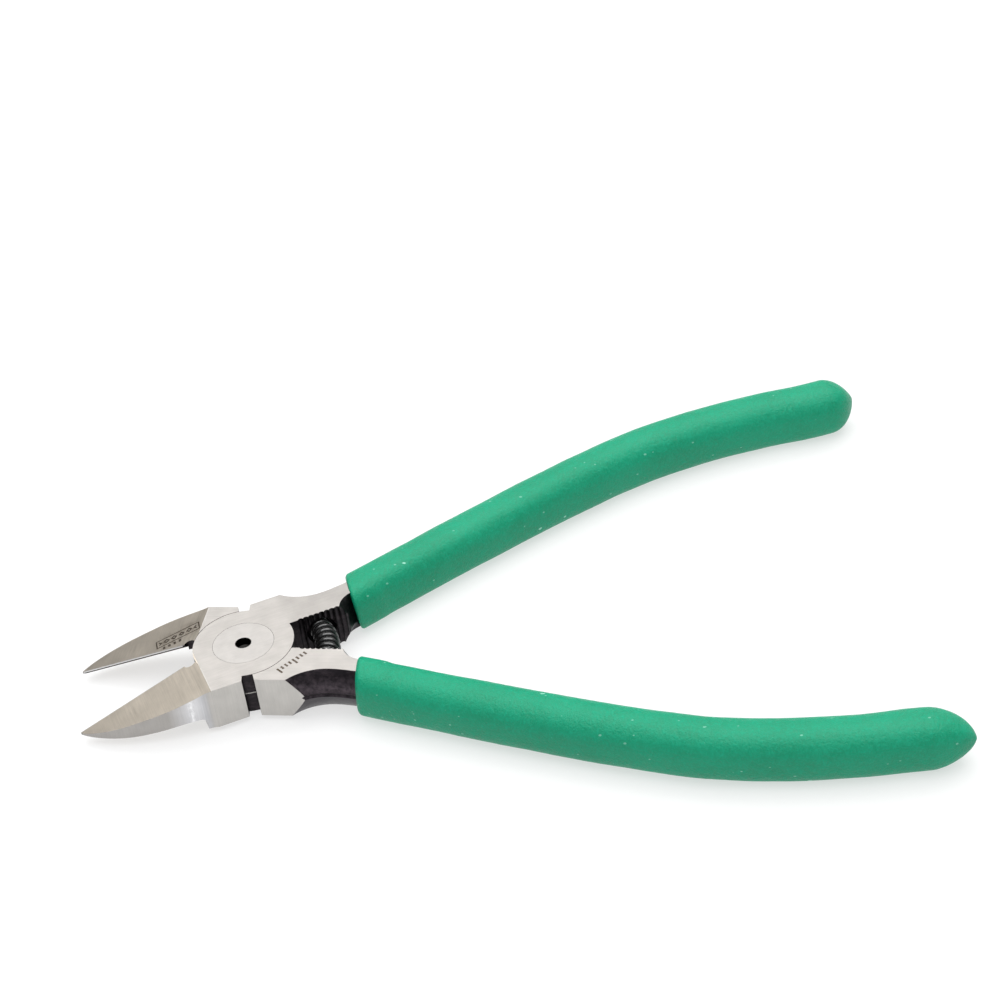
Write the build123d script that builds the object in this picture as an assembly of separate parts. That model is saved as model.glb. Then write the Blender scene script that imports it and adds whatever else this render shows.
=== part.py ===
from build123d import *
import math
import os

# Flush cut pliers with a lap joint: two forged levers turn on a flush rivet, a small coil
# spring between the necks opens them, and each handle wears a dipped plastic sleeve.
#
# Frame: the origin lies on the pivot axis, at the underside of the joint. +Z is up through the
# joint, +X runs along the closed pliers towards the handles, and the jaws point to -X.
# Each half is drawn in its closed place and then turned by OPEN_ANGLE, to where the spring
# holds it. The upper half has its jaw at -Y and its handle at +Y, and the lower half is its
# mirror image, with the flush side of both blades on top. All sizes are in millimetres.

# Joint
THICKNESS = 7.72
OPEN_ANGLE = 15.3
CHEEK_RADIUS = 8.53
RECESS_GAP = 0.10
CHEEK_GAP = 0.05
RIVET_SHANK_RADIUS = 3.5
RIVET_HEAD_RADIUS = 5.15
RIVET_HEAD_DEPTH = 1.65
RIVET_RUNNING_GAP = 0.05
CENTRE_HOLE_RADIUS = 1.38
CENTRE_HOLE_DEPTH = 1.5
CENTRE_HOLE_POINT = 0.8

# Jaw
BLOCK_SIDE = 9.3
HEEL_ANGLE = -108.7
RIDGE_X = -8.3
BLADE_SLOPE = 18.1
TIP_X = -29.6
TIP_WIDTH = 0.25
TIP_UNDERSIDE = 0.45
EDGE_GAP = 0.03
EDGE_START_X = -10.4
EDGE_LAND = 0.45
BEVEL_ANGLE = 36.0
BEVEL_REACH = 12.0
THROAT_X = -8.65
THROAT_REACH = 4.0
THROAT_LAND = 1.15
UNDERCUT_X = -10.0
UNDERCUT_HEIGHT = 2.2
UNDERCUT_RADIUS = 0.9

# Neck of the handle
SHOULDER_SIDE = 9.2
SHOULDER_ANGLE = 66.2
SHOULDER_END_X = 9.3
INNER_SIDE = 1.05
NECK_BULGE = 2.1
NECK_FACE_REACH = 0.6
NECK_FACE_RISE = 0.59
FLASH_WIDTH = 0.8
FLASH_DEPTH = 0.25
RIB_START_X = 9.95
RIB_PITCH = 0.92
RIB_COUNT = 10
RIB_DEPTH = 0.28
SCOOP_TOP_CHAMFER = 2.3
SCOOP_LOW_CHAMFER = 1.7
SCOOP_SHIFT = 1.2
SCOOP_START_X = 17.3
SCOOP_END = (20.4, 3.7)

# Return spring, and the blind pockets that hold its ends
POCKET_X = 13.7
POCKET_RADIUS = 2.6
POCKET_DEPTH = 2.5
COIL_RADIUS = 1.7
WIRE_RADIUS = 0.3
COIL_PITCH = 1.25
COIL_LENGTH = 10.6
COIL_X = 13.1

# Handle tang and grip sleeve
SLEEVE_WIDTH = 8.8
SLEEVE_HEIGHT = 9.4
SLEEVE_GROWTH = 0.04
SLEEVE_SQUARENESS = 2.35
SLEEVE_TIP_LENGTH = 6.6
SLEEVE_STATIONS = 14
SLEEVE_MIDDLE = 3.8
RIM_CENTRE = (20.65, 5.7)
RIM_ANGLE = -6.5
TANG_HALF_WIDTH = 2.1
TANG_START = 6.3
TANG_CLOSED_END = 8.0

MID_HEIGHT = THICKNESS / 2
FAR = 60.0

# Outer side of the blade as x and y, from the block to the blunt tip, and its rising underside
# as x and z
BLADE_EDGE = [(-9.3, -8.98), (-11.5, -8.68), (-15.3, -7.95), (-19.6, -6.52), (-24.0, -4.62),
              (-27.2, -2.6), (-28.8, -1.2), (TIP_X, -TIP_WIDTH)]
BLADE_UNDERSIDE = [(-15.3, 1.82), (-18.6, 1.18), (-21.9, 0.72), (-26.4, 0.52),
                   (TIP_X, TIP_UNDERSIDE)]

# Top edge of the neck's outer side, as x and y, where the forged surface shows
NECK_EDGE = [(8.0, 10.8), (9.3, 9.2), (10.6, 7.95), (12.2, 7.0), (14.0, 6.4),
             (16.0, 6.2), (18.5, 6.4), (21.0, 6.8), (24.0, 7.6)]

# Middle line of the handle, from inside the neck to the sleeve's tip
HANDLE_LINE = [(16, 4.41), (31.4, 8.62), (41.8, 11.36), (62, 16.19), (78.1, 19.01),
               (90.5, 19.26), (102.8, 18.01), (114, 15.9), (120.6, 15.33)]


def polar(radius, degrees):
    """A point in the XY plane at a radius and angle from the pivot."""
    return (radius * math.cos(math.radians(degrees)), radius * math.sin(math.radians(degrees)))


def layer(radius, low, high):
    """A disc about the pivot axis, between two heights."""
    return Pos(0, 0, (low + high) / 2) * Cylinder(radius, high - low)


def block(low, high):
    """A box given by its lowest and highest corners."""
    size = [b - a for a, b in zip(low, high)]
    middle = [(a + b) / 2 for a, b in zip(low, high)]
    return Pos(*middle) * Box(*size)


def raised(plan):
    """A plan drawn in the XY plane, raised to the full thickness of the joint."""
    return extrude(plan, amount=THICKNESS, dir=(0, 0, 1))


def blade_top(x):
    """Height of the flush face of the blade at a distance along the jaw."""
    return THICKNESS - math.tan(math.radians(BLADE_SLOPE)) * (RIDGE_X - x)


def jaw_plan():
    """The jaw from above: heel, block, curved blade, cutting edge and throat notch."""
    heel_root = polar(7.0, HEEL_ANGLE)
    heel_corner = polar(BLOCK_SIDE / abs(math.sin(math.radians(HEEL_ANGLE))), HEEL_ANGLE)
    notch_mouth = (EDGE_START_X, -0.3)
    notch_exit = (-8.9, -0.72)
    with BuildSketch() as plan:
        with BuildLine():
            Polyline(heel_root, heel_corner, (RIDGE_X, -BLOCK_SIDE), BLADE_EDGE[0])
            Spline(*BLADE_EDGE)
            Polyline((TIP_X, -TIP_WIDTH), (TIP_X, -EDGE_GAP), (EDGE_START_X, -EDGE_GAP), notch_mouth)
            ThreePointArc(notch_mouth, (-9.8, -0.82), notch_exit)
            Polyline(notch_exit, (-8.2, -0.45), heel_root)
        make_face()
    return plan.sketch


def jaw_side():
    """The jaw from the side: flat joint, sloping flush face, undercut and thin tip."""
    corner_x = UNDERCUT_X - UNDERCUT_RADIUS
    corner_z = UNDERCUT_HEIGHT - UNDERCUT_RADIUS
    corner_middle = (corner_x + UNDERCUT_RADIUS * math.sqrt(0.5),
                     corner_z + UNDERCUT_RADIUS * math.sqrt(0.5))
    with BuildSketch(Plane.XZ) as side:
        with BuildLine():
            Polyline((TIP_X, TIP_UNDERSIDE), (TIP_X, blade_top(TIP_X)), (RIDGE_X, THICKNESS),
                     (0, THICKNESS), (0, 0), (UNDERCUT_X, 0), (UNDERCUT_X, corner_z))
            ThreePointArc((UNDERCUT_X, corner_z), corner_middle, (corner_x, UNDERCUT_HEIGHT))
            Spline((corner_x, UNDERCUT_HEIGHT), *BLADE_UNDERSIDE)
        make_face()
    return side.sketch


def cutting_bevel(start_x, land, reach, length):
    """A wedge ground off under the cutting edge, which leaves an upright land below it."""
    drop = reach * math.tan(math.radians(BEVEL_ANGLE))
    top = blade_top(start_x) - land
    wedge = Plane(origin=(start_x, 0, 0), x_dir=(0, 1, 0), z_dir=(1, 0, 0)) * Polygon(
        (1, top), (-EDGE_GAP, top), (-reach, top - drop), (-reach, -FAR), (1, -FAR), align=None)
    slope = math.radians(BLADE_SLOPE)
    return extrude(wedge, amount=length, dir=(-math.cos(slope), 0, -math.sin(slope)))


def jaw():
    """The whole jaw of the upper half, before the joint's recess is cut."""
    plan = raised(jaw_plan())
    side = extrude(jaw_side(), amount=FAR / 2, both=True)
    blade_bevel = cutting_bevel(UNDERCUT_X, EDGE_LAND, BEVEL_REACH, 30.0)
    throat_bevel = cutting_bevel(THROAT_X, THROAT_LAND, THROAT_REACH, 3.0)
    return plan & side - blade_bevel - throat_bevel


def neck_section(x, edge_y):
    """Cross section of the forged neck: flat top and bottom, and on the outer side two drafted
    faces that meet at the shallow groove where the forging flash was trimmed."""
    inside = 0.5
    ridge_y = edge_y + NECK_BULGE
    ridge_rise = FLASH_WIDTH / 2
    face_y = edge_y + NECK_FACE_REACH * NECK_BULGE
    face_rise = NECK_FACE_RISE * MID_HEIGHT
    with BuildSketch(Plane(origin=(x, 0, MID_HEIGHT), x_dir=(0, 1, 0), z_dir=(1, 0, 0))) as section:
        with BuildLine():
            Polyline((edge_y, -MID_HEIGHT), (inside, -MID_HEIGHT), (inside, MID_HEIGHT),
                     (edge_y, MID_HEIGHT))
            ThreePointArc((edge_y, MID_HEIGHT), (face_y, face_rise), (ridge_y, ridge_rise))
            Polyline((ridge_y, ridge_rise), (ridge_y - FLASH_DEPTH, 0), (ridge_y, -ridge_rise))
            ThreePointArc((ridge_y, -ridge_rise), (face_y, -face_rise), (edge_y, -MID_HEIGHT))
        make_face()
    return section.sketch


def ribbed_side():
    """The space beside the neck's inner side, whose round grooves leave sharp upright ribs."""
    rib_end = RIB_START_X + RIB_COUNT * RIB_PITCH
    valley = INNER_SIDE + RIB_DEPTH
    with BuildSketch() as space:
        with BuildLine():
            Polyline((rib_end, INNER_SIDE), (rib_end, -FAR), (5.0, -FAR), (5.0, INNER_SIDE),
                     (RIB_START_X, INNER_SIDE))
            for number in range(RIB_COUNT):
                start = RIB_START_X + number * RIB_PITCH
                ThreePointArc((start, INNER_SIDE), (start + RIB_PITCH / 2, valley),
                              (start + RIB_PITCH, INNER_SIDE))
        make_face()
    return raised(space.sketch)


def scoop_section(height, shift):
    """The scoop's outline at one height, moved along the neck by a shift."""
    start = (SCOOP_START_X + shift, INNER_SIDE)
    end = (SCOOP_END[0] + shift, SCOOP_END[1])
    with BuildSketch(Plane.XY.offset(height)) as section:
        with BuildLine():
            Spline(start, (start[0] + 1.0, 2.6), end)
            Polyline(end, (30.0, 6.0), (30.0, -FAR), (start[0], -FAR), start)
        make_face()
    return section.sketch


def scoop():
    """The hollow that runs in under the sleeve, wider at the top and the bottom of the neck."""
    places = [(0, 0), (SCOOP_LOW_CHAMFER, SCOOP_SHIFT),
              (THICKNESS - SCOOP_TOP_CHAMFER, SCOOP_SHIFT), (THICKNESS, 0)]
    return loft([scoop_section(height, shift) for height, shift in places], ruled=True)


def handle_line():
    """The handle's middle line at half height."""
    return Spline(*[(x, y, MID_HEIGHT) for x, y in HANDLE_LINE])


def tang():
    """The steel bar inside the sleeve, which follows the handle's middle line."""
    line = handle_line()
    stop = 1 - TANG_CLOSED_END / line.length
    start = TANG_START / line.length
    places = [start + (stop - start) * number / 10 for number in range(11)]
    outer = [line @ t + (line % t).rotate(Axis.Z, 90) * TANG_HALF_WIDTH for t in places]
    inner = [line @ t - (line % t).rotate(Axis.Z, 90) * TANG_HALF_WIDTH for t in places]
    flat = [[Vector(p.X, p.Y, 0) for p in side] for side in (outer, inner)]
    with BuildSketch() as plan:
        with BuildLine():
            Spline(*flat[0])
            Line(flat[0][-1], flat[1][-1])
            Spline(*flat[1])
            Line(flat[1][0], flat[0][0])
        make_face()
    return raised(plan.sketch)


def handle():
    """Shoulder, forged neck and tang of the upper half, before the recess is cut."""
    shoulder_root = polar(7.0, SHOULDER_ANGLE)
    shoulder_corner = polar(SHOULDER_SIDE / math.sin(math.radians(SHOULDER_ANGLE)), SHOULDER_ANGLE)
    shoulder = raised(Polygon(shoulder_root, shoulder_corner, (SHOULDER_END_X, SHOULDER_SIDE),
                              (SHOULDER_END_X, 0.6), (6.0, 0.6), align=None))
    neck = loft([neck_section(x, y) for x, y in NECK_EDGE])
    ground = block((0, SHOULDER_SIDE, -1), (15.0, FAR, THICKNESS + 1))
    pocket = Pos(POCKET_X, INNER_SIDE + POCKET_DEPTH / 2 - 1, MID_HEIGHT) * Rot(90, 0, 0)
    pocket *= Cylinder(POCKET_RADIUS, POCKET_DEPTH + 2)
    return shoulder + (neck - ground) - ribbed_side() - scoop() + tang() - pocket


def lever(cheek_low, cheek_high, recess_low, recess_high):
    """One forged lever in its closed place: cheek, jaw and handle, with the recess for the
    other lever's cheek."""
    recess = layer(CHEEK_RADIUS + RECESS_GAP, recess_low, recess_high)
    cheek = layer(CHEEK_RADIUS, cheek_low, cheek_high)
    return jaw() + handle() - recess + cheek


def rivet_form(gap):
    """The rivet with its two countersunk heads, grown all round by a gap."""
    shank = layer(RIVET_SHANK_RADIUS + gap, 0, THICKNESS)
    cone_low = RIVET_HEAD_RADIUS + gap
    cone_high = RIVET_SHANK_RADIUS + gap
    head = Cone(cone_low, cone_high, RIVET_HEAD_DEPTH)
    lower_head = Pos(0, 0, RIVET_HEAD_DEPTH / 2) * head
    upper_head = Pos(0, 0, THICKNESS - RIVET_HEAD_DEPTH / 2) * Rot(180, 0, 0) * head
    return shank + lower_head + upper_head


def pivot_rivet():
    """The rivet, with a drilled centre on its upper face."""
    hole = layer(CENTRE_HOLE_RADIUS, THICKNESS - CENTRE_HOLE_DEPTH, THICKNESS + 1)
    point = Pos(0, 0, THICKNESS - CENTRE_HOLE_DEPTH - CENTRE_HOLE_POINT / 2)
    point *= Cone(0, CENTRE_HOLE_RADIUS, CENTRE_HOLE_POINT)
    return rivet_form(0) - hole - point


def rounded_oval(width, height):
    """A closed outline between an ellipse and a rectangle, across the handle."""
    def reach(size, part):
        return math.copysign(size / 2 * abs(part) ** (2 / SLEEVE_SQUARENESS), part)

    angles = [math.radians(15 * number) for number in range(24)]
    points = [(reach(width, math.cos(a)), reach(height, math.sin(a))) for a in angles]
    return make_face(Spline(*points, periodic=True))


def sleeve_outside():
    """The sleeve's outer form: upright ovals along the handle, closing to a round nose."""
    line = handle_line()
    body_length = line.length - SLEEVE_TIP_LENGTH
    places = []
    for number in range(SLEEVE_STATIONS + 1):
        share = number / SLEEVE_STATIONS
        places.append((body_length * share, 1 + SLEEVE_GROWTH * share))
    for share in (0.25, 0.45, 0.62, 0.76, 0.87, 0.95, 0.99):
        size = (1 + SLEEVE_GROWTH) * (1 - share ** 1.8) ** 0.69
        places.append((body_length + share * SLEEVE_TIP_LENGTH, size))
    sections = []
    for distance, size in places:
        t = distance / line.length
        middle = (line @ t) + Vector(0, 0, SLEEVE_MIDDLE - MID_HEIGHT)
        across = (line % t).rotate(Axis.Z, 90)
        oval = rounded_oval(SLEEVE_WIDTH * size, SLEEVE_HEIGHT * size)
        sections.append(Plane(origin=middle, x_dir=across, z_dir=line % t) * oval)
    return loft(sections)


def grip_sleeve(steel):
    """The dipped sleeve, a tight skin over the tang of one lever, its mouth cut square to the
    closed pliers."""
    mouth = Pos(*RIM_CENTRE, 0) * Rot(0, 0, RIM_ANGLE) * block((-FAR, -FAR, -FAR), (0, FAR, FAR))
    return sleeve_outside() - mouth - steel


def return_spring():
    """The open coil between the two necks, its ends just inside the pockets."""
    start = (COIL_X, -COIL_LENGTH / 2, MID_HEIGHT)
    path = Helix(COIL_PITCH, COIL_LENGTH, COIL_RADIUS, center=start, direction=(0, 1, 0))
    wire = Plane(origin=path @ 0, z_dir=path % 0) * Circle(WIRE_RADIUS)
    return sweep(wire, path=path, is_frenet=True)


def build():
    """Every node of the pliers, each half turned out to its open place."""
    low = MID_HEIGHT - CHEEK_GAP / 2
    high = MID_HEIGHT + CHEEK_GAP / 2
    upper_steel = lever(high, THICKNESS, -1, high)
    lower_steel = lever(0, low, low, THICKNESS + 1)
    upper_place = Rot(0, 0, OPEN_ANGLE)
    lower_place = Rot(0, 0, -OPEN_ANGLE)
    return {
        "lever_upper": upper_place * (upper_steel - rivet_form(RIVET_RUNNING_GAP)),
        "lever_lower": lower_place * mirror(lower_steel - rivet_form(0), about=Plane.XZ),
        "grip_upper": upper_place * grip_sleeve(upper_steel),
        "grip_lower": lower_place * mirror(grip_sleeve(lower_steel), about=Plane.XZ),
        "pivot_rivet": pivot_rivet(),
        "return_spring": return_spring(),
    }


os.makedirs("parts", exist_ok=True)
for node, shape in build().items():
    export_step(shape, f"parts/{node}.step")
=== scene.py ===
import math

import bpy
from mathutils import Matrix, Vector, noise


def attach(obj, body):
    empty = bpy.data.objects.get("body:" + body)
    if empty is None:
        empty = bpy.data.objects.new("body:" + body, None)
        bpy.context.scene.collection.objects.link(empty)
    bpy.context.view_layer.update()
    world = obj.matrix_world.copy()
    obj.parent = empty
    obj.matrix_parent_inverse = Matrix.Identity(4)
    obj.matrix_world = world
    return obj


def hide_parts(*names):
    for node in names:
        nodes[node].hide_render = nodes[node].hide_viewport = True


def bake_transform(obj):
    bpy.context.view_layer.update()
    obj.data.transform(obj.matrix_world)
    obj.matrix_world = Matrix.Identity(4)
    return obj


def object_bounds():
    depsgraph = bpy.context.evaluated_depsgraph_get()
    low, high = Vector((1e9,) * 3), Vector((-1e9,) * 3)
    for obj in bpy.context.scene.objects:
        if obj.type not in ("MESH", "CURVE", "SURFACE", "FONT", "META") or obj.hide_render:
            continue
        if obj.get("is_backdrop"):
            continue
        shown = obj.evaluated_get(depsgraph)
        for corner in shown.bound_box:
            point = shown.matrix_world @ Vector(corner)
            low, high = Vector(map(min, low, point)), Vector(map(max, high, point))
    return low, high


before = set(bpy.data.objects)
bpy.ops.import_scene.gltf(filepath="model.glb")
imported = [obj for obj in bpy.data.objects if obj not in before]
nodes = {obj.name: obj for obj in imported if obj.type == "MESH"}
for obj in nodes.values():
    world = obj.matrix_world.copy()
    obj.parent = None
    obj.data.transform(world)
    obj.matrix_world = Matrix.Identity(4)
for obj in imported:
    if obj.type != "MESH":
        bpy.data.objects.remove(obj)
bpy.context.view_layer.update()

# Flush cut pliers. The levers and the rivet are the CAD nodes with broken edges and zoned
# steel materials. The two dipped sleeves and the return spring are detailed pieces of their
# own. Shapes are drawn in millimetres in the closed place of the upper half, whose handle is
# at +Y, then mirrored for the lower half and turned out by OPEN_ANGLE.

MM = 0.001
THICKNESS = 7.72
MID_HEIGHT = THICKNESS / 2
OPEN_ANGLE = math.radians(15.3)
SIDES = {"upper": 1, "lower": -1}


# ---------------------------------------------------------------- helpers

def link(name, data):
    thing = bpy.data.objects.new(name, data)
    bpy.context.scene.collection.objects.link(thing)
    return thing


def placed(point, side):
    """A point drawn for the closed upper half, in its open place on one side, in metres."""
    x, y, z = point
    c, s = math.cos(OPEN_ANGLE), math.sin(OPEN_ANGLE)
    return Vector((x * c - y * s, side * (x * s + y * c), z)) * MM


def smooth(value):
    value = min(max(value, 0.0), 1.0)
    return value * value * (3 - 2 * value)


def tube_mesh(name, rings, flip):
    """A skin through closed rings of equal count, with a fan at each end."""
    count = len(rings[0])
    points = [p for ring in rings for p in ring]
    faces = []
    for row in range(len(rings) - 1):
        for k in range(count):
            a, b = row * count + k, row * count + (k + 1) % count
            faces.append((a, b, b + count, a + count))
    for ring, back in ((0, True), (len(rings) - 1, False)):
        hub = len(points)
        points.append(sum(rings[ring], Vector()) / count)
        for k in range(count):
            a, b = ring * count + k, ring * count + (k + 1) % count
            faces.append((b, a, hub) if back else (a, b, hub))
    if flip:
        faces = [face[::-1] for face in faces]
    mesh = bpy.data.meshes.new(name)
    mesh.from_pydata(points, [], faces)
    mesh.polygons.foreach_set("use_smooth", [True] * len(faces))
    mesh.update()
    return mesh


# ---------------------------------------------------------------- shader helpers

class Graph:
    """Short calls for building one material's nodes."""

    def __init__(self, name):
        self.material = bpy.data.materials.new(name)
        self.material.use_nodes = True
        self.tree = self.material.node_tree
        self.shader = self.tree.nodes["Principled BSDF"]

    def feed(self, socket, value):
        if isinstance(value, bpy.types.NodeSocket):
            self.tree.links.new(value, socket)
        elif value is not None:
            socket.default_value = value

    def add(self, kind, inputs=(), **settings):
        node = self.tree.nodes.new(kind)
        for key, value in settings.items():
            setattr(node, key, value)
        for key, value in dict(inputs).items():
            self.feed(node.inputs[key], value)
        return node

    def math(self, operation, a, b=0.0, clamp=False):
        node = self.add("ShaderNodeMath", {0: a, 1: b}, operation=operation, use_clamp=clamp)
        return node.outputs[0]

    def range(self, value, low, high, to_low=0.0, to_high=1.0):
        inputs = {"Value": value, "From Min": low, "From Max": high,
                  "To Min": to_low, "To Max": to_high}
        return self.add("ShaderNodeMapRange", inputs).outputs[0]

    def mix(self, factor, a, b):
        node = self.add("ShaderNodeMix", {0: factor}, data_type="RGBA")
        for index, value in ((6, a), (7, b)):
            self.feed(node.inputs[index], value)
        return node.outputs[2]

    def blend(self, factor, a, b):
        """A number between a and b."""
        node = self.add("ShaderNodeMix", {0: factor, 2: a, 3: b}, data_type="FLOAT")
        return node.outputs[0]

    def stretched(self, vector, scale):
        return self.add("ShaderNodeMapping", {"Vector": vector, "Scale": scale}).outputs[0]

    def noise(self, vector, scale, detail=3.0, rough=0.55):
        inputs = {"Vector": vector, "Scale": scale, "Detail": detail, "Roughness": rough}
        return self.add("ShaderNodeTexNoise", inputs).outputs[0]

    def bump(self, height, distance, strength=1.0, normal=None):
        inputs = {"Height": height, "Distance": distance, "Strength": strength, "Normal": normal}
        return self.add("ShaderNodeBump", inputs).outputs[0]

    def split(self, vector):
        return self.add("ShaderNodeSeparateXYZ", {0: vector}).outputs


def closed_space(graph, side):
    """Position in millimetres and normal, in the closed place of the upper half."""
    coordinates = graph.add("ShaderNodeTexCoord")
    turn = (0, 0, -OPEN_ANGLE)
    place = graph.add("ShaderNodeMapping", {
        "Vector": coordinates.outputs["Object"], "Rotation": turn,
        "Scale": (1 / MM, side / MM, 1 / MM)})
    facing = graph.add("ShaderNodeMapping", {
        "Vector": coordinates.outputs["Normal"], "Rotation": turn,
        "Scale": (1, side, 1)}, vector_type="VECTOR")
    return place.outputs[0], facing.outputs[0]


# ---------------------------------------------------------------- materials

GROUND = (0.450, 0.430, 0.411, 1)
GROUND_WARM = (0.620, 0.556, 0.470, 1)
GROUND_COOL = (0.506, 0.490, 0.466, 1)
# painted highlight: a bright steel tone laid along the line where the blade face begins
RIDGE_HIGHLIGHT = (0.80, 0.79, 0.775, 1)
# painted shade: a greyer wall tone towards the tip
WALL_TIP_SHADE = (0.386, 0.370, 0.353, 1)
# painted reflection: a bright bluish wall tone near the block
WALL_BLUE_REFLECTION = (0.606, 0.604, 0.618, 1)
# painted shade in the fillet behind the undercut
FILLET_SHADE = (0.470, 0.472, 0.488, 1)
# painted glint where the blade begins
GLINT_BRIGHT = (0.92, 0.92, 0.93, 1)
# painted highlight on the thin facet along the cutting edge
EDGE_HIGHLIGHT = (0.60, 0.595, 0.585, 1)
OXIDE = (0.018, 0.016, 0.018, 1)
OXIDE_NECK = (0.026, 0.022, 0.026, 1)
# painted sheen on the neck's oxide
OXIDE_SHEEN = (0.125, 0.102, 0.117, 1)
# painted reflection: a lighter grey for the neck's downward-facing side, as lit from the table
OXIDE_UNDERSIDE_REFLECTION = (0.062, 0.059, 0.064, 1)
OXIDE_WORN = (0.150, 0.115, 0.128, 1)
ETCHED = (0.060, 0.040, 0.024, 1)
ETCH_HALO = (0.33, 0.275, 0.215, 1)
CHEEK_RADIUS = 8.53
RIDGE_X = -8.3
BLADE_X = -9.2
BLADE_FALL = math.tan(math.radians(18.1))
EDGE_START_X = -10.3
EDGE_LINE_DEPTH = 0.25
GLINT_X = -12.1
GLINT_REACH = 0.75
FILLET_X = -9.9
NOSE_X = -29.5
NECK_START = (7.0, 4.6)
SCALE_CENTRE = (9.75, 4.55)
SCALE_ANGLE = -51.3
STROKE_PITCH = 0.80
FRAME_CENTRE = (-12.5, -3.35)
FRAME_ANGLE = -21.0
FRAME_HALF = (3.95, 1.12)
FRAME_LINE = 0.23
DIAMOND_PITCH = 1.36


def all_of(graph, *tests):
    product = tests[0]
    for test in tests[1:]:
        product = graph.math("MULTIPLY", product, test)
    return product


def any_of(graph, *tests):
    most = tests[0]
    for test in tests[1:]:
        most = graph.math("MAXIMUM", most, test)
    return most


def turned(g, x, y, centre, degrees):
    """Distances along and across a line through a centre, at an angle."""
    c, s = math.cos(math.radians(degrees)), math.sin(math.radians(degrees))
    dx = g.math("SUBTRACT", x, centre[0])
    dy = g.math("SUBTRACT", y, centre[1])
    along = g.math("ADD", g.math("MULTIPLY", dx, c), g.math("MULTIPLY", dy, s))
    across = g.math("SUBTRACT", g.math("MULTIPLY", dy, c), g.math("MULTIPLY", dx, s))
    return along, across


def repeat(g, along, pitch):
    """The place within each repeat of a pitch, from 0 to 1."""
    return g.math("FRACT", g.math("DIVIDE", g.math("ADD", along, 20 * pitch), pitch))


def size_scale_mark(g, x, y):
    """A row of short strokes with every fourth one longer, etched across the neck."""
    along, across = turned(g, x, y, SCALE_CENTRE, SCALE_ANGLE)
    stroke = g.math("LESS_THAN", repeat(g, along, STROKE_PITCH), 0.46)
    longer = g.math("LESS_THAN", repeat(g, along, 4 * STROKE_PITCH), 0.25)
    return all_of(g, stroke, g.math("LESS_THAN", g.math("ABSOLUTE", along), 3.2),
                  g.math("GREATER_THAN", across, -0.70),
                  g.math("LESS_THAN", across, g.blend(longer, 0.15, 0.75)))


def blade_mark(g, x, y):
    """A thin etched frame round a row of small diamonds, with a row of bars beside it."""
    along, across = turned(g, x, y, FRAME_CENTRE, FRAME_ANGLE)
    along_side = g.math("ABSOLUTE", along)
    across_side = g.math("ABSOLUTE", across)
    cell = g.math("ABSOLUTE", g.math("SUBTRACT", repeat(g, along, DIAMOND_PITCH), 0.5))
    diamond = g.math("ADD", g.math("MULTIPLY", cell, DIAMOND_PITCH), across_side)
    diamonds = all_of(g, g.math("LESS_THAN", diamond, 0.62), g.math("GREATER_THAN", diamond, 0.22),
                      g.math("LESS_THAN", along_side, 3.40))
    inside = all_of(g, g.math("LESS_THAN", along_side, FRAME_HALF[0]),
                    g.math("LESS_THAN", across_side, FRAME_HALF[1]))
    core = all_of(g, g.math("LESS_THAN", along_side, FRAME_HALF[0] - FRAME_LINE),
                  g.math("LESS_THAN", across_side, FRAME_HALF[1] - FRAME_LINE))
    bars = all_of(g, g.math("GREATER_THAN", across, 1.42), g.math("LESS_THAN", across, 2.15),
                  g.math("LESS_THAN", g.math("ABSOLUTE", g.math("ADD", along, 1.3)), 1.9),
                  g.math("LESS_THAN", repeat(g, along, 0.95), 0.45))
    halo = all_of(g, g.range(along_side, 4.8, 3.0), g.range(across_side, 2.7, 1.2))
    return any_of(g, diamonds, g.math("SUBTRACT", inside, core), bars), halo


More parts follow.
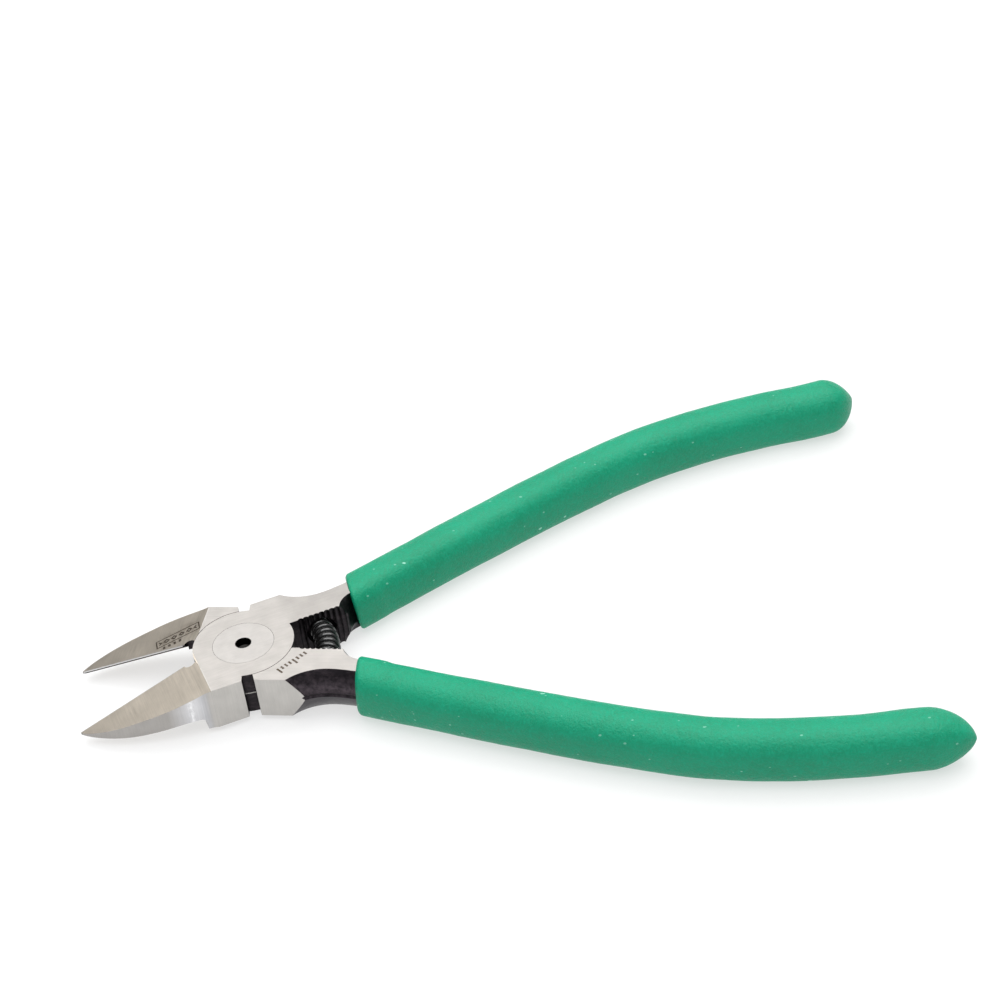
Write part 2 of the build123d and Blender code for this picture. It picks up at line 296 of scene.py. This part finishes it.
def lever_material(name, side):
    """Ground steel on the flats, walls and blades, and black oxide on what was left as
    forged: the neck, its ribs and the hidden walls of the joint."""
    g = Graph(name)
    place, facing = closed_space(g, side)
    x, y, z = g.split(place)
    nx, _, nz = g.split(facing)
    upright = g.math("ABSOLUTE", nz)
    outward = g.math("ABSOLUTE", y)
    radius = g.math("SQRT", g.math("ADD", g.math("MULTIPLY", x, x), g.math("MULTIPLY", y, y)))
    far_out = g.math("GREATER_THAN", radius, CHEEK_RADIUS + 0.17)

    flats = g.math("GREATER_THAN", upright, g.blend(far_out, 0.93, 0.80))
    jaw_side = g.math("LESS_THAN", x, 0.0)
    walls = all_of(g, g.math("GREATER_THAN", outward, g.blend(jaw_side, 9.07, 8.62)),
                   g.math("LESS_THAN", g.math("ABSOLUTE", nx), g.blend(jaw_side, 0.30, 0.75)))
    blade = g.math("LESS_THAN", x, BLADE_X)
    steep = g.math("LESS_THAN", upright, 0.6)
    notch = all_of(g, g.math("GREATER_THAN", x, -10.7), g.math("LESS_THAN", x, 0.0),
                   g.math("LESS_THAN", outward, 1.5), steep)
    edge_zone = all_of(g, g.math("LESS_THAN", x, EDGE_START_X), g.math("LESS_THAN", outward, 0.12))
    blade_plane = g.math("MULTIPLY_ADD", x, BLADE_FALL)
    blade_plane.node.inputs[2].default_value = THICKNESS - BLADE_FALL * RIDGE_X
    below = g.math("SUBTRACT", blade_plane, z)
    # painted shade: the land under the cutting edge is given the dark oxide tone
    land = all_of(g, edge_zone, steep, g.math("GREATER_THAN", below, EDGE_LINE_DEPTH))
    # painted highlight: a thin bright line along the cutting edge
    edge_line = all_of(g, edge_zone, g.math("LESS_THAN", below, EDGE_LINE_DEPTH))
    inner_cheek = g.math("LESS_THAN", radius, CHEEK_RADIUS + 0.2)
    cheek_step = all_of(g, inner_cheek, steep, g.math("GREATER_THAN", radius, CHEEK_RADIUS - 0.2),
                        g.math("LESS_THAN", g.math(
                            "ABSOLUTE", g.math("SUBTRACT", z, MID_HEIGHT)), 0.10))
    nose = all_of(g, g.math("LESS_THAN", x, NOSE_X), steep)
    ground = g.math("SUBTRACT", any_of(g, flats, walls, blade), any_of(g, notch, land, nose),
                    clamp=True)
    ground = any_of(g, ground, cheek_step)

    lengthwise = g.noise(g.stretched(place, (0.10, 3.2, 3.2)), 2.2, 5.0, 0.65)
    upwards = g.noise(g.stretched(place, (3.4, 3.4, 0.08)), 2.0, 5.0, 0.7)
    crosswise = g.noise(g.stretched(place, (3.2, 0.10, 0.5)), 2.2, 5.0, 0.65)
    is_wall = g.math("LESS_THAN", upright, 0.5)
    is_blade = g.math("LESS_THAN", x, RIDGE_X)
    grain = g.blend(is_wall, g.blend(is_blade, lengthwise, crosswise), upwards)
    cloud = g.noise(place, 0.28, 3.0)

    # Walls: a painted bluish reflection near the block, painted shade greyer towards the tip,
    # painted shade in the fillet behind the undercut, and a painted glint where the blade begins
    broken = g.range(g.noise(g.stretched(place, (1.0, 1.0, 0.45)), 2.4, 4.0, 0.7), 0.40, 0.62)
    from_glint = g.math("DIVIDE", g.math("ABSOLUTE", g.math("ADD", x, -GLINT_X)), GLINT_REACH)
    glint = g.math("MULTIPLY", broken, g.math("SUBTRACT", 1.0, from_glint), clamp=True)
    wall = g.mix(g.range(x, -10.2, -8.8), WALL_BLUE_REFLECTION, GROUND_COOL)
    wall = g.mix(g.range(x, -16.0, -12.6), WALL_TIP_SHADE, wall)
    wall = g.mix(g.math("MULTIPLY", glint, 0.85), wall, GLINT_BRIGHT)
    fillet = g.range(g.math("ABSOLUTE", g.math("ADD", x, -FILLET_X)), 0.9, 0.2, 0.0, 0.70)
    wall = g.mix(g.math("MULTIPLY", fillet, jaw_side), wall, FILLET_SHADE)
    steel = g.mix(is_wall, g.mix(is_blade, GROUND, GROUND_WARM), wall)

    tone = g.math("ADD", g.math("MULTIPLY", grain, 0.55), g.math("MULTIPLY", cloud, 0.45))
    bands = g.range(g.noise(g.stretched(place, (1.7, 0.03, 0.03)), 1.0, 2.0),
                    0.35, 0.65, -0.08, 0.08)
    bands = g.math("MULTIPLY", bands, g.math("MULTIPLY", is_blade, g.range(x, -13.0, -9.5)))
    shade = g.math("ADD", g.range(tone, 0.3, 0.7, 0.84, 1.12), bands)
    # painted shade: the upper half's steel goes darker from x = 8 to 10.5 mm, down to 0.88
    if side > 0:
        shade = g.math("MULTIPLY", shade, g.range(x, 8.0, 10.5, 1.0, 0.88))
    shades = g.add("ShaderNodeCombineXYZ", {0: shade, 1: shade, 2: shade}).outputs[0]
    steel = g.add("ShaderNodeVectorMath", {0: steel, 1: shades}, operation="MULTIPLY").outputs[0]
    # painted highlight along the line where the flat turns down into the blade face
    ridge = all_of(g, g.math("LESS_THAN", g.math("ABSOLUTE", g.math("SUBTRACT", x, RIDGE_X)), 0.07),
                   far_out, g.math("SUBTRACT", 1.0, steep))
    steel = g.mix(g.math("MULTIPLY", ridge, 0.40), steel, RIDGE_HIGHLIGHT)
    steel = g.mix(edge_line, steel, EDGE_HIGHLIGHT)

    if side < 0:
        on_top = all_of(g, g.math("GREATER_THAN", nz, 0.9), g.math("GREATER_THAN", z, 3.0))
        etched, halo = blade_mark(g, x, y)
        smudge = g.range(g.noise(place, 1.1, 4.0, 0.6), 0.42, 0.66)
        steel = g.mix(all_of(g, halo, smudge, on_top, 0.75), steel, ETCH_HALO)
        mark = all_of(g, any_of(g, size_scale_mark(g, x, y), etched), on_top)
        burn = g.math("MULTIPLY", mark, g.range(g.noise(place, 4.0, 3.0), 0.35, 0.6, 0.72, 0.98))
        steel = g.mix(burn, steel, ETCHED)

    mottle = g.noise(place, 1.3, 6.0, 0.72)
    streaks = g.noise(g.stretched(place, (0.35, 1.0, 1.6)), 1.1, 4.0, 0.6)
    nicks = g.add("ShaderNodeTexVoronoi", {"Vector": place, "Scale": 1.1, "Randomness": 1.0})
    nick = g.math("LESS_THAN", nicks.outputs["Distance"], g.range(
        g.split(nicks.outputs["Color"])[0], 0.82, 1.0, 0.0, 0.16))
    worn = g.math("ADD", g.range(mottle, 0.46, 0.78, 0.0, 0.55),
                  g.range(streaks, 0.48, 0.75, 0.0, 0.45))
    outer_neck = all_of(g, g.math("GREATER_THAN", y, NECK_START[1]),
                        g.math("GREATER_THAN", x, NECK_START[0]))
    oxide = g.mix(outer_neck, OXIDE, OXIDE_NECK)
    # painted sheen: a lighter band on the outer neck where the normal's upward part is about 0.3 to
    # 0.6
    sheen = all_of(g, g.range(nz, 0.29, 0.40), g.range(nz, 0.60, 0.46),
                   g.range(mottle, 0.30, 0.58), outer_neck)
    oxide = g.mix(sheen, oxide, OXIDE_SHEEN)
    # painted reflection: the outer neck's downward-facing side is lighter grey
    oxide = g.mix(all_of(g, outer_neck, g.math("LESS_THAN", nz, -0.02)), oxide, OXIDE_UNDERSIDE_REFLECTION)
    wear = g.math("MULTIPLY", g.math("ADD", worn, nick, clamp=True), g.blend(outer_neck, 0.35, 0.5))
    oxide = g.mix(wear, oxide, OXIDE_WORN)

    g.feed(g.shader.inputs["Base Color"], g.mix(ground, oxide, steel))
    g.feed(g.shader.inputs["Metallic"], g.blend(ground, 0.9, 1.0))
    steel_rough = g.range(grain, 0.3, 0.7, 0.30, 0.42)
    oxide_rough = g.range(mottle, 0.35, 0.7, 0.28, 0.44)
    g.feed(g.shader.inputs["Roughness"], g.blend(ground, oxide_rough, steel_rough))
    height = g.blend(ground, g.math("SUBTRACT", g.math("MULTIPLY", mottle, 2.6), nick),
                     g.math("MULTIPLY", grain, 0.40))
    g.feed(g.shader.inputs["Normal"], g.bump(height, 0.00002, 0.7))
    return g.material


RIVET_TONES = ((0.423, 0.405, 0.391, 1), (0.493, 0.477, 0.459, 1))
# painted shade for the rivet's drilled centre and rim
RIVET_RECESS_SHADE = (0.020, 0.019, 0.018, 1)
WIRE_TONES = ((0.006, 0.006, 0.006, 1), (0.016, 0.015, 0.015, 1))


def rivet_material():
    """Satin steel, ground flush with the joint, with painted shade in the drilled centre and on the
    rim.
    """
    g = Graph("rivet_steel")
    place, facing = closed_space(g, 1)
    upright = g.math("ABSOLUTE", g.split(facing)[2])
    depth = g.math("ABSOLUTE", g.math("SUBTRACT", g.split(place)[2], MID_HEIGHT))
    on_face = all_of(g, g.math("GREATER_THAN", depth, MID_HEIGHT - 0.11),
                     g.math("GREATER_THAN", upright, 0.6))
    lines = g.noise(g.stretched(place, (0.15, 3.2, 3.2)), 2.2, 5.0, 0.65)
    cloud = g.noise(place, 0.5, 3.0)
    face = g.mix(g.range(g.math("ADD", lines, cloud), 0.7, 1.3), *RIVET_TONES)
    # painted shade everywhere off the ground faces: the drilled centre and the rim
    g.feed(g.shader.inputs["Base Color"], g.mix(on_face, RIVET_RECESS_SHADE, face))
    g.shader.inputs["Metallic"].default_value = 1.0
    g.feed(g.shader.inputs["Roughness"], g.range(lines, 0.3, 0.7, 0.30, 0.40))
    g.feed(g.shader.inputs["Normal"], g.bump(lines, 0.00002, 0.3))
    return g.material


def spring_material():
    """Black oiled spring wire."""
    g = Graph("spring_steel")
    place = closed_space(g, 1)[0]
    marks = g.noise(place, 3.0, 4.0, 0.6)
    g.feed(g.shader.inputs["Base Color"], g.mix(marks, *WIRE_TONES))
    g.shader.inputs["Specular IOR Level"].default_value = 1.0
    g.feed(g.shader.inputs["Roughness"], g.range(marks, 0.3, 0.7, 0.14, 0.24))
    g.feed(g.shader.inputs["Normal"], g.bump(marks, 0.00001, 0.5))
    return g.material


VINYL_TONES = ((0.001, 0.268, 0.135, 1), (0.001, 0.304, 0.158, 1))
VINYL_BLOTCH = (0.002, 0.355, 0.197, 1)
VINYL_GRAIN = (0.006, 0.420, 0.246, 1)
VINYL_SPECK = (0.30, 0.68, 0.53, 1)
SPECK_LAYERS = ((0.28, 0.55, 0.10, 0.95), (0.75, 0.60, 0.17, 0.55))


def vinyl_material():
    """Satin green dipped vinyl: fine orange peel, mottled gloss and pale specks."""
    g = Graph("grip_vinyl")
    place = g.stretched(g.add("ShaderNodeTexCoord").outputs["Object"], (1 / MM, 1 / MM, 1 / MM))
    tone = g.noise(place, 0.09, 3.0, 0.5)
    fine = g.noise(place, 3.0, 5.0, 0.7)
    blotch = g.noise(place, 0.75, 4.0, 0.6)
    green = g.mix(g.range(tone, 0.35, 0.65), *VINYL_TONES)
    green = g.mix(g.range(blotch, 0.40, 0.70, 0.0, 0.45), green, VINYL_BLOTCH)
    green = g.mix(g.range(fine, 0.48, 0.72, 0.0, 0.60), green, VINYL_GRAIN)
    speck = 0.0
    spread = g.stretched(place, (0.75, 1.25, 1.25))
    for scale, chance, reach, strength in SPECK_LAYERS:
        cells = g.add("ShaderNodeTexVoronoi", {"Vector": spread, "Scale": scale, "Randomness": 1.0})
        size = g.range(g.split(cells.outputs["Color"])[0], chance, 1.0, 0.0, reach)
        edge = g.math("SUBTRACT", size, cells.outputs["Distance"])
        speck = g.math("MAXIMUM", speck, g.range(edge, 0.0, 0.02, 0.0, strength))
    g.feed(g.shader.inputs["Base Color"], g.mix(speck, green, VINYL_SPECK))
    g.feed(g.shader.inputs["Roughness"], g.range(
        g.math("ADD", fine, blotch), 0.75, 1.25, 0.28, 0.54))
    g.shader.inputs["Specular IOR Level"].default_value = 0.30
    peel = g.noise(place, 1.5, 4.0, 0.6)
    height = g.math("ADD", g.math("ADD", peel, g.math("MULTIPLY", fine, 0.6)),
                    g.math("MULTIPLY", speck, 0.3))
    g.feed(g.shader.inputs["Normal"], g.bump(height, 0.00026, 0.6))
    return g.material


# ---------------------------------------------------------------- dipped sleeves

SLEEVE_WIDTH = 8.65
SLEEVE_HEIGHT = 9.25
SLEEVE_GROWTH = 0.04
SLEEVE_SQUARENESS = 2.35
SQUARE_LENGTH = 14.0
SLEEVE_MIDDLE = 3.8
MOUTH_SETTLES = 18.0
WAVE_HEIGHT = 0.09
PEEL_HEIGHT = 0.022
LIP_BULGE = 0.35
STEP_DOWN = 0.70
STEP_PLACE = 4.7
STEP_REACH = 1.7
SWELL_BACK = 0.27
SWELL_PLACE = 7.0
SWELL_REACH = 18.0
RING_POINTS = 80
LIP_STEPS = 8
BODY_STEPS = 220
TIP_STEPS = 30

# How each dip came out. The mouth: its angle in plan in degrees, how far its top leans towards
# the tip, its shift along the handle, size, squareness, the rounding of its lip, and the
# share of the step down that ends the thicker lip on the inner side. The tip: its length, how
# much it stops short of the handle line's end, and the two powers that draw its taper.
DIPS = {
    "lower": {"angle": -6.7, "lean": 0.07, "shift": -0.42, "size": 0.985, "square": 2.6,
              "lip": 0.9, "step": 1.0, "tip": 7.4, "short": 0.25, "taper": 1.7, "nose": 0.62},
    "upper": {"angle": -8.5, "lean": -0.10, "shift": 0.12, "size": 0.965, "square": 2.9,
              "lip": 0.7, "step": 0.5, "tip": 5.5, "short": 0.0, "taper": 2.1, "nose": 0.80},
}
HANDLE_LINE = [(16.0, 4.41), (20.65, 5.73), (31.4, 8.62), (41.8, 11.36), (62.0, 16.19),
               (78.1, 19.01), (90.5, 19.26), (102.8, 18.01), (114.0, 15.95), (120.6, 15.72)]


def line_samples(points, steps=24):
    """Points along a smooth curve from the second given point to the last. The first point
    only steers the curve's start."""
    found = []
    for index in range(1, len(points) - 1):
        p0, p1, p2 = points[index - 1], points[index], points[index + 1]
        p3 = points[index + 2] if index + 2 < len(points) else p2 + (p2 - p1)
        gap = (p2 - p1).length
        before = (p2 - p0) / ((p1 - p0).length + gap) * gap
        after = (p3 - p1) / ((p3 - p2).length + gap) * gap
        for step in range(steps):
            t = step / steps
            found.append(p1 * (2 * t ** 3 - 3 * t * t + 1) + before * (t ** 3 - 2 * t * t + t)
                         + p2 * (3 * t * t - 2 * t ** 3) + after * (t ** 3 - t * t))
    found.append(points[-1])
    return found


class Path:
    """Place and heading at any distance along a sampled line."""

    def __init__(self, points):
        self.points = points
        self.reach = [0.0]
        for a, b in zip(points, points[1:]):
            self.reach.append(self.reach[-1] + (b - a).length)
        self.length = self.reach[-1]

    def at(self, distance):
        index = 0
        while index < len(self.points) - 2 and self.reach[index + 1] < distance:
            index += 1
        a, b = self.points[index], self.points[index + 1]
        share = (distance - self.reach[index]) / (self.reach[index + 1] - self.reach[index])
        return a.lerp(b, share), (b - a).normalized()


def sleeve_ring(middle, heading, size, squareness, lean, inset, bulge):
    """One closed ring of the sleeve, as points in the closed half. The ring is drawn inset
    from its full size, and its inner side stands out by bulge."""
    across = Vector((-heading.y, heading.x, 0))
    half_width = SLEEVE_WIDTH / 2 * size - inset
    half_height = SLEEVE_HEIGHT / 2 * size - inset
    ring = []
    power = 2 / squareness
    for number in range(RING_POINTS):
        angle = 2 * math.pi * number / RING_POINTS
        c, s = math.cos(angle), math.sin(angle)
        side_step = math.copysign(abs(c) ** power, c) * half_width
        rise = math.copysign(abs(s) ** power, s) * half_height
        side_step -= bulge * max(-c, 0) ** 2
        ring.append(middle + across * side_step + heading * lean * rise
                    + Vector((0, 0, SLEEVE_MIDDLE + rise)))
    return ring


def uneven(ring):
    """The ring with the slight waviness and orange peel of a dipped skin."""
    centre = sum(ring, Vector()) / len(ring)
    found = []
    for point in ring:
        lift = WAVE_HEIGHT * noise.noise(point * 0.16) + PEEL_HEIGHT * noise.noise(point * 0.95)
        found.append(point + (point - centre).normalized() * lift)
    return found


def sleeve_rings(dip):
    """Rings from inside the mouth, round the lip, along the handle and over the tip."""
    path = Path(line_samples([Vector((x, y, 0)) for x, y in HANDLE_LINE]))
    mouth_angle = math.radians(dip["angle"])
    mouth_heading = Vector((math.cos(mouth_angle), math.sin(mouth_angle), 0))

    def bulge(distance):
        step_down = STEP_DOWN * smooth((distance - STEP_PLACE) / STEP_REACH)
        swell = SWELL_BACK * smooth((distance - SWELL_PLACE) / SWELL_REACH)
        lip_roll = LIP_BULGE * smooth(0.35 + distance / 2.5)
        return dip["step"] * (lip_roll - (step_down - swell))

    def ring(distance, size, inset=0.0, stand_out=0.0):
        middle, heading = path.at(distance)
        settle = smooth(distance / MOUTH_SETTLES)
        heading = (mouth_heading * (1 - settle) + heading * settle).normalized()
        middle = middle + heading * dip["shift"] * (1 - settle)
        round_share = smooth(distance / SQUARE_LENGTH)
        squareness = dip["square"] + (SLEEVE_SQUARENESS - dip["square"]) * round_share
        size *= dip["size"] + (1 - dip["size"]) * round_share
        return sleeve_ring(middle, heading, size, squareness, dip["lean"] * (1 - settle), inset,
                           stand_out)

    lip = dip["lip"]
    rings = [ring(0.9, 1, 2.4), ring(0.15, 1, 1.6)]
    for step in range(LIP_STEPS + 1):
        angle = math.pi / 2 * step / LIP_STEPS
        distance = lip * (1 - math.cos(angle))
        rings.append(ring(distance, 1, lip * (1 - math.sin(angle)), bulge(distance)))
    body = path.length - dip["short"] - dip["tip"]
    for step in range(1, BODY_STEPS + 1):
        distance = lip + (body - lip) * step / BODY_STEPS
        rings.append(ring(distance, 1 + SLEEVE_GROWTH * distance / body, 0, bulge(distance)))
    for step in range(1, TIP_STEPS):
        share = 1 - (1 - step / TIP_STEPS) ** 2
        size = (1 + SLEEVE_GROWTH) * (1 - share ** dip["taper"]) ** dip["nose"]
        rings.append(ring(body + share * dip["tip"], size))
    return [uneven(found) for found in rings]


def sleeve(name, half, material):
    side = SIDES[half]
    rings = [[placed(p, side) for p in ring] for ring in sleeve_rings(DIPS[half])]
    mesh = tube_mesh(name, rings, flip=side < 0)
    mesh.materials.append(material)
    piece = link(name, mesh)
    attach(piece, f"{half}_half")
    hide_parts(f"grip_{half}")
    return piece


# ---------------------------------------------------------------- return spring

COIL_BEND = 13.75
COIL_REACH = math.radians(26.4)
COIL_RADIUS = 1.7
WIRE_RADIUS = 0.36
COIL_TURNS = 10.0
COIL_START = math.radians(60)
COIL_SAMPLES = 30
WIRE_SIDES = 12


def spring(material):
    """A coil bowed on an arc about the pivot, its ends inside the pockets of both necks."""
    count = int(COIL_TURNS * COIL_SAMPLES)
    middle = []
    for index in range(count + 1):
        share = index / count
        bend = (2 * share - 1) * COIL_REACH
        turn = 2 * math.pi * COIL_TURNS * share + COIL_START
        radius = COIL_BEND + COIL_RADIUS * math.cos(turn)
        middle.append(Vector((radius * math.cos(bend), radius * math.sin(bend),
                              MID_HEIGHT + COIL_RADIUS * math.sin(turn))))
    rings = []
    for index, point in enumerate(middle):
        ahead = (middle[min(index + 1, count)] - middle[max(index - 1, 0)]).normalized()
        bend = (2 * index / count - 1) * COIL_REACH
        centre = Vector((COIL_BEND * math.cos(bend), COIL_BEND * math.sin(bend), MID_HEIGHT))
        out = (point - centre).normalized()
        beside = ahead.cross(out).normalized()
        out = beside.cross(ahead)
        rings.append([(point + (out * math.cos(a) + beside * math.sin(a)) * WIRE_RADIUS) * MM
                      for a in (2 * math.pi * k / WIRE_SIDES for k in range(WIRE_SIDES))])
    mesh = tube_mesh("spring_coil", rings, flip=False)
    mesh.materials.append(material)
    piece = link("spring_coil", mesh)
    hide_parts("return_spring")
    beside = COIL_BEND * MM
    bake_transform(piece)
    return piece


# ---------------------------------------------------------------- steel nodes

def broken_edges(node, width):
    """Breaks the sharp edges of a CAD node a little, as grinding and tumbling do."""
    bevel = node.modifiers.new("broken_edges", "BEVEL")
    bevel.width = width * MM
    bevel.segments = 2
    bevel.limit_method = "ANGLE"
    bevel.angle_limit = math.radians(32)
    bevel.harden_normals = True


def repaint(node, material):
    for slot in node.material_slots:
        slot.link = "OBJECT"
        slot.material = material


# ---------------------------------------------------------------- camera and studio

CAMERA_LENS = 98.29
CAMERA_PLACE = (40.43, -355.41, 290.18)
CAMERA_AZIMUTH = math.radians(0.85)
CAMERA_ELEVATION = math.radians(36.37)
CAMERA_ROLL = math.radians(-8.62)
FLOOR_REACH = 6.0
FLOOR_TONES = ((0.31, 0.31, 0.31, 1), (0.33, 0.33, 0.33, 1))
FLOOR_GAP = 0.02
FLOOR_GLOW = 0.62
WORLD_STRENGTH = 0.24
LEVER_BREAK = 0.09
RIVET_BREAK = 0.12


def camera():
    """A long lens about 36 degrees above the ground, rolled a little."""
    data = bpy.data.cameras.new("camera")
    data.lens = CAMERA_LENS
    data.sensor_width = 36.0
    data.clip_start = 0.01
    data.clip_end = 20.0
    cam = link("camera", data)
    level = math.cos(CAMERA_ELEVATION)
    ahead = Vector((math.sin(CAMERA_AZIMUTH) * level, math.cos(CAMERA_AZIMUTH) * level,
                    -math.sin(CAMERA_ELEVATION)))
    turn = ahead.to_track_quat("-Z", "Y").to_matrix() @ Matrix.Rotation(CAMERA_ROLL, 3, "Z")
    cam.matrix_world = Matrix.Translation(Vector(CAMERA_PLACE) * MM) @ turn.to_4x4()
    bpy.context.scene.camera = cam


def area_light(name, place, aim, size, power, colour=(1, 1, 1)):
    data = bpy.data.lights.new(name, "AREA")
    data.shape = "RECTANGLE"
    data.size, data.size_y = size
    data.energy = power
    data.color = colour
    light = link(name, data)
    light.location = Vector(place)
    light.rotation_euler = (Vector(aim) - light.location).to_track_quat("-Z", "Y").to_euler()


def floor(height):
    """A pale table, a little lit from below so that shadows on it stay light."""
    corners = [(FLOOR_REACH * x, FLOOR_REACH * y, height)
               for x, y in ((-1, -1), (1, -1), (1, 1), (-1, 1))]
    mesh = bpy.data.meshes.new("floor")
    mesh.from_pydata(corners, [], [(0, 1, 2, 3)])
    g = Graph("light_table")
    grain = g.noise(g.add("ShaderNodeTexCoord").outputs["Object"], 400.0, 3.0)
    g.feed(g.shader.inputs["Base Color"], g.mix(grain, *FLOOR_TONES))
    g.shader.inputs["Roughness"].default_value = 0.9
    g.shader.inputs["Emission Color"].default_value = (1, 1, 1, 1)
    g.shader.inputs["Emission Strength"].default_value = FLOOR_GLOW
    mesh.materials.append(g.material)
    link("floor", mesh)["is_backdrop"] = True


def studio():
    world = bpy.data.worlds.new("studio")
    bpy.context.scene.world = world
    world.use_nodes = True
    background = world.node_tree.nodes["Background"]
    background.inputs["Color"].default_value = (0.93, 0.96, 1.0, 1)
    background.inputs["Strength"].default_value = WORLD_STRENGTH
    area_light("sky_panel", (0.36, 0.90, 1.13), (0.04, 0, 0), (2.4, 1.35), 12.2, (1, 0.985, 0.96))
    area_light("left_panel", (-0.62, 0.80, 0.80), (-0.02, 0, 0), (0.60, 0.45), 0.22)
    area_light("top_panel", (0.08, 0.0, 1.15), (0.04, 0, 0), (1.8, 1.45), 21.5)
    bpy.context.scene.view_settings.view_transform = "Standard"


camera()
studio()

for half, side in SIDES.items():
    repaint(nodes[f"lever_{half}"], lever_material(f"lever_steel_{half}", side))
    broken_edges(nodes[f"lever_{half}"], LEVER_BREAK)
repaint(nodes["pivot_rivet"], rivet_material())
broken_edges(nodes["pivot_rivet"], RIVET_BREAK)

vinyl = vinyl_material()
for half in SIDES:
    sleeve(f"sleeve_{half}", half, vinyl)
spring(spring_material())

floor(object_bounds()[0].z - FLOOR_GAP * MM)
